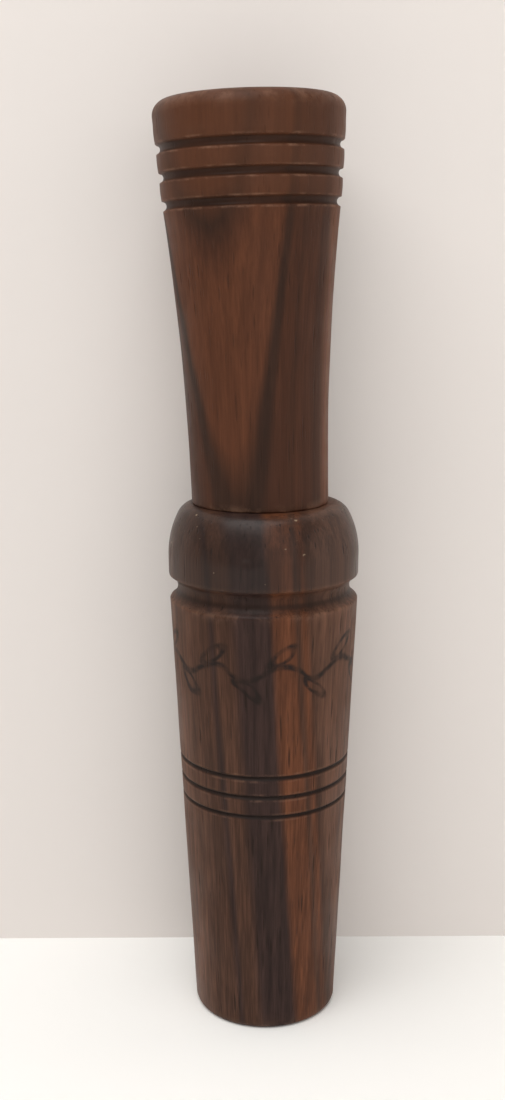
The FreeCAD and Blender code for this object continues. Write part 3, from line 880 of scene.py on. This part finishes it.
def settings():
    """The duck call's settings in the open scene."""
    return bpy.context.scene.duck_call


def finished(piece, material, body, node):
    """Gives a piece its material, body and slot, and hides the frame's node that it stands for.

    A piece whose body is None is attached to no body.
    """
    piece.data.materials.clear()
    piece.data.materials.append(material)
    if body:
        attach(piece, body)
    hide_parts(node)


class DUCKCALL_OT_stage(Operator):
    """Makes the camera, the lights, the pale floor and the wall behind"""
    bl_idname = "duckcall.stage"
    bl_label = "Stage"

    def execute(self, context):
        s = settings().stage
        data = bpy.data.cameras.new("Camera")
        data.sensor_width = 36.0
        data.lens = s.focal_length
        data.clip_start, data.clip_end = 0.01, 20.0
        camera = bpy.data.objects.new("Camera", data)
        look = Matrix.Rotation(math.pi / 2 - s.camera_down, 4, "X") @ Matrix.Rotation(s.camera_roll, 4, "Z")
        camera.matrix_world = Matrix.Translation((-s.camera_left, -s.camera_back, s.camera_height)) @ look
        context.scene.collection.objects.link(camera)
        context.scene.camera = camera
        context.scene.view_settings.view_transform = "Standard"

        for name, place_at, size, power, warmth in (
            ("Top light", (-0.15, -0.30, 0.75), 0.7, 5.0, (1.0, 0.985, 0.97)),
            ("Front light", (0.30, -0.9, 0.35), 0.8, 1.6, (1.0, 0.98, 0.96)),
            ("Side light", (0.60, -0.10, 0.10), 0.5, 0.6, (1.0, 0.96, 0.92)),
        ):
            lamp = bpy.data.lights.new(name, "AREA")
            lamp.size, lamp.energy, lamp.color = size, power, warmth
            light = bpy.data.objects.new(name, lamp)
            light.location = place_at
            aim = Vector((0, 0, 0.08)) - Vector(place_at)
            light.rotation_euler = aim.to_track_quat("-Z", "Y").to_euler()
            context.scene.collection.objects.link(light)
        world = bpy.data.worlds.new("Soft room")
        world.use_nodes = True
        sky = world.node_tree.nodes["Background"]
        sky.inputs["Color"].default_value = (1.0, 0.98, 0.96, 1)
        sky.inputs["Strength"].default_value = 0.34
        context.scene.world = world

        half, high, back = 1.2, 0.9, s.wall_distance
        flats = {
            "Floor": [(-half, -half, 0), (half, -half, 0), (half, half, 0), (-half, half, 0)],
            "Wall": [(-half, back, 0), (half, back, 0), (half, back, high), (-half, back, high)],
        }
        for name, corners in flats.items():
            mesh = bpy.data.meshes.new(name)
            mesh.from_pydata(corners, [], [(0, 1, 2, 3)])
            flat = bpy.data.objects.new(name, mesh)
            context.scene.collection.objects.link(flat)
            mesh.materials.append(self.paint(name))
        return {"FINISHED"}

    @staticmethod
    def paint(name):
        """Plain pale paint, clear from behind so that it hides nothing."""
        tone = {"Floor": (0.93, 0.93, 0.91, 1), "Wall": (0.775, 0.73, 0.70, 1)}[name]
        material, shader, _ = new_material(f"{name} paint")
        fill(shader, {"Base Color": tone, "Roughness": 0.8})
        tree = material.node_tree
        clear = add("ShaderNodeBsdfTransparent", tree=tree)
        behind = add("ShaderNodeNewGeometry", tree=tree).outputs["Backfacing"]
        both = add("ShaderNodeMixShader", {0: behind, 1: shader.outputs[0], 2: clear.outputs[0]})
        output = next(n for n in tree.nodes if n.type == "OUTPUT_MATERIAL")
        fill(output, {"Surface": both.outputs[0]})
        return material


class DUCKCALL_OT_barrel(Operator):
    """Turns the barrel, with its burned rings, lanyard groove and round band"""
    bl_idname = "duckcall.barrel"
    bl_label = "Barrel"

    def execute(self, context):
        s, wood = settings().barrel, settings().wood
        section, outward = barrel_section(s)
        cone, band = [(0.004, 0.036), (0.052, 0.074)], (0.0815, 0.091)
        dented = cone + [band, band]
        points = turned_surface(section, wood.turning_segments)
        points = hand_work(points, outward, wood.dents, dented, 5)
        edge, hollow = edge_and_hollow(section)
        height = section[:, 1]
        # Painted shade: the lanyard groove is darkened just below its middle.
        groove_shade_height, groove_shade_reach = s.cord_height - 0.7 * MM, 0.75 * MM
        groove_shade = np.exp(-(((height - groove_shade_height) / groove_shade_reach) ** 2)) * outward
        band_wear, burn_reach = 0.3, 0.42 * MM
        burned = sum(np.exp(-(((height - z) / burn_reach) ** 4)) for z in ring_heights(s)) * outward
        handled_low, handled_high = 80.6 * MM, 93.6 * MM
        handled = np.clip(np.minimum(height - handled_low, handled_high - height) / MM, 0, 1) * outward
        layers = {
            "edge": edge * np.where(height > s.cord_height, band_wear, 1.0),
            # Painted shade in every hollow, over the burn in the burned rings, and more in the lanyard
            # groove.
            "hollow": np.maximum(hollow, 1.1 * groove_shade),
            "burned": burned,
            "handled": handled,
        }
        piece = new_piece("barrel_wood", points, closed_quads, layers)
        brown, dark = wood.barrel_brown, wood.barrel_dark
        orange, pale = wood.barrel_orange, wood.barrel_side_sheen
        # The pale stops at both ends paint a sheen on the barrel's sides as seen from the front.
        stops = [(-17, brown), (-12, pale), (-8.3, brown), (-6.6, brown), (-5.7, dark), (-5.0, brown),
                 (-3.2, brown), (-1.6, dark), (3.6, dark), (4.9, orange), (8.0, orange), (8.8, brown),
                 (9.9, orange), (10.9, brown), (13, pale), (19, pale)]
        rings = {"Ring direction": (1.0, 0.12, 0.0), "Lean": 0.065, "Warp": 0.35}
        material = walnut("Barrel walnut", rings, (-17, 19), stops, streaks=1.15, open_pores=0.75,
                          burned=wood.burned, ornament=leafy_vine)
        finished(piece, material, "barrel", "barrel")
        return {"FINISHED"}


class DUCKCALL_OT_stopper(Operator):
    """Turns the stopper, with its flare, three grooves, lip, exhaust bore and seat"""
    bl_idname = "duckcall.stopper"
    bl_label = "Stopper"

    def execute(self, context):
        s, wood = settings().stopper, settings().wood
        section, outward, leaning = stopper_section(s)
        flare_and_head = [(0.100, 0.138), (0.150, 0.158)]
        points = turned_surface(section, wood.turning_segments)
        points = hand_work(points, outward, wood.dents, flare_and_head, 11)
        points = lean_points(points, leaning, s)
        edge, hollow = edge_and_hollow(section)
        height = section[:, 1]
        even_start, even_rise = s.head_height - 3 * MM, 6 * MM
        # The top rim is paled by wear and by a painted sheen.
        rim_height, rim_reach = s.top - 0.9 * MM, 1.1 * MM
        rim = np.exp(-(((height - rim_height) / rim_reach) ** 2)) * outward
        layers = {
            "edge": np.maximum(edge, 0.6 * rim),
            # Burn and painted shade in the grooves.
            "hollow": 0.85 * hollow,
            "even": np.clip((height - even_start) / even_rise, 0, 1),
        }
        piece = new_piece("stopper_wood", points, closed_quads, layers)
        warm, brown = wood.stopper_warm, wood.stopper_brown
        dark, pale = wood.stopper_dark, wood.stopper_pale_and_sheen
        # side, half again as bright as pale, paints a sheen on the stopper's sides as seen from the front.
        side = tuple(1.5 * c for c in pale)
        line = tuple((a + b) / 2 for a, b in zip(dark, brown))
        stops = [(-16, brown), (-9, dark), (-6, brown), (-3, side), (3.5, side), (6.0, brown), (7.2, line),
                 (8.2, brown), (10.8, brown), (11.6, line), (12.4, brown), (13.6, brown), (14.2, dark),
                 (14.75, dark), (15.45, warm), (18.9, warm), (19.9, brown), (20.6, dark), (21.3, brown),
                 (22, warm)]
        rings = {"Ring direction": (0.123, -0.946, 0.0), "Lean": 0.03, "Twist": -0.0046, "Warp": 0.2}
        material = walnut("Stopper walnut", rings, (-18, 22), stops, streaks=0.65, open_pores=0.35,
                          even=pale)
        finished(piece, material, "stopper", "stopper")
        return {"FINISHED"}


class DUCKCALL_OT_tone_board(Operator):
    """Gives the tone board its bare wood, on the frame's own shape"""
    bl_idname = "duckcall.tone_board"
    bl_label = "Tone Board"

    def execute(self, context):
        wood = bare_wood(settings().wood.board)
        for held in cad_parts["tone_board"].material_slots:
            held.material = wood
        return {"FINISHED"}


class DUCKCALL_OT_o_rings(Operator):
    """Makes the two O-rings, flattened a little where the bore presses them"""
    bl_idname = "duckcall.o_rings"
    bl_label = "O-Rings"

    def execute(self, context):
        material = ring_rubber(settings().wood.rubber)
        for node in ("lower_o_ring", "upper_o_ring"):
            low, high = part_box(node)
            points = o_ring_surface(high[0], (high[2] - low[2]) / 2, (high[2] + low[2]) / 2)
            piece = new_piece(f"{node}_rubber", points, closed_quads)
            finished(piece, material, "seal_rings", node)
        return {"FINISHED"}


class DUCKCALL_OT_reeds(Operator):
    """Cuts the long and the short reed from film"""
    bl_idname = "duckcall.reeds"
    bl_label = "Reeds"

    def execute(self, context):
        s = settings().reeds
        material = frosted_film(settings().wood.film)
        for node in ("long_reed", "short_reed"):
            low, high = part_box(node)
            points = reed_surface(low, high, s.width / 2, s.corner)
            piece = new_piece(f"{node}_film", points, capped_quads)
            finished(piece, material, None, node)
            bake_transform(piece)
        return {"FINISHED"}


class DUCKCALL_OT_wedge(Operator):
    """Cuts the cork wedge, with soft corners and open pits"""
    bl_idname = "duckcall.wedge"
    bl_label = "Wedge"

    def execute(self, context):
        points, pits = wedge_surface(*WEDGE)
        piece = new_piece("wedge_cork", points, capped_quads, {"hollow": pits})
        finished(piece, cut_cork(settings().wood.cork), "wedge", "wedge")
        return {"FINISHED"}


class DUCKCALL_PT_panel(Panel):
    """Lists the pieces and their settings in the sidebar"""
    bl_idname = "DUCKCALL_PT_panel"
    bl_label = "Duck Call"
    bl_space_type = "VIEW_3D"
    bl_region_type = "UI"
    bl_category = "Duck Call"

    def draw(self, context):
        layout = self.layout
        for operator in OPERATORS:
            layout.operator(operator.bl_idname)
        for group in DuckCallSettings.__annotations__:
            box = layout.box()
            box.label(text=group.capitalize())
            values = getattr(context.scene.duck_call, group)
            for key in values.__annotations__:
                box.prop(values, key)


OPERATORS = (
    DUCKCALL_OT_stage, DUCKCALL_OT_barrel, DUCKCALL_OT_stopper, DUCKCALL_OT_tone_board,
    DUCKCALL_OT_o_rings, DUCKCALL_OT_reeds, DUCKCALL_OT_wedge,
)
CLASSES = (
    BarrelSizes, StopperSizes, ReedSizes, WoodSettings, StageSettings, DuckCallSettings,
    *OPERATORS, DUCKCALL_PT_panel,
)


def register():
    """Registers the settings, operators and panel."""
    for item in CLASSES:
        bpy.utils.register_class(item)
    bpy.types.Scene.duck_call = PointerProperty(type=DuckCallSettings)


def unregister():
    """Removes them again."""
    del bpy.types.Scene.duck_call
    for item in reversed(CLASSES):
        bpy.utils.unregister_class(item)


def main():
    register()
    bpy.ops.duckcall.stage()
    bpy.ops.duckcall.barrel()
    bpy.ops.duckcall.stopper()
    bpy.ops.duckcall.tone_board()
    bpy.ops.duckcall.o_rings()
    bpy.ops.duckcall.reeds()
    bpy.ops.duckcall.wedge()


if __name__ == "__main__":
    main()
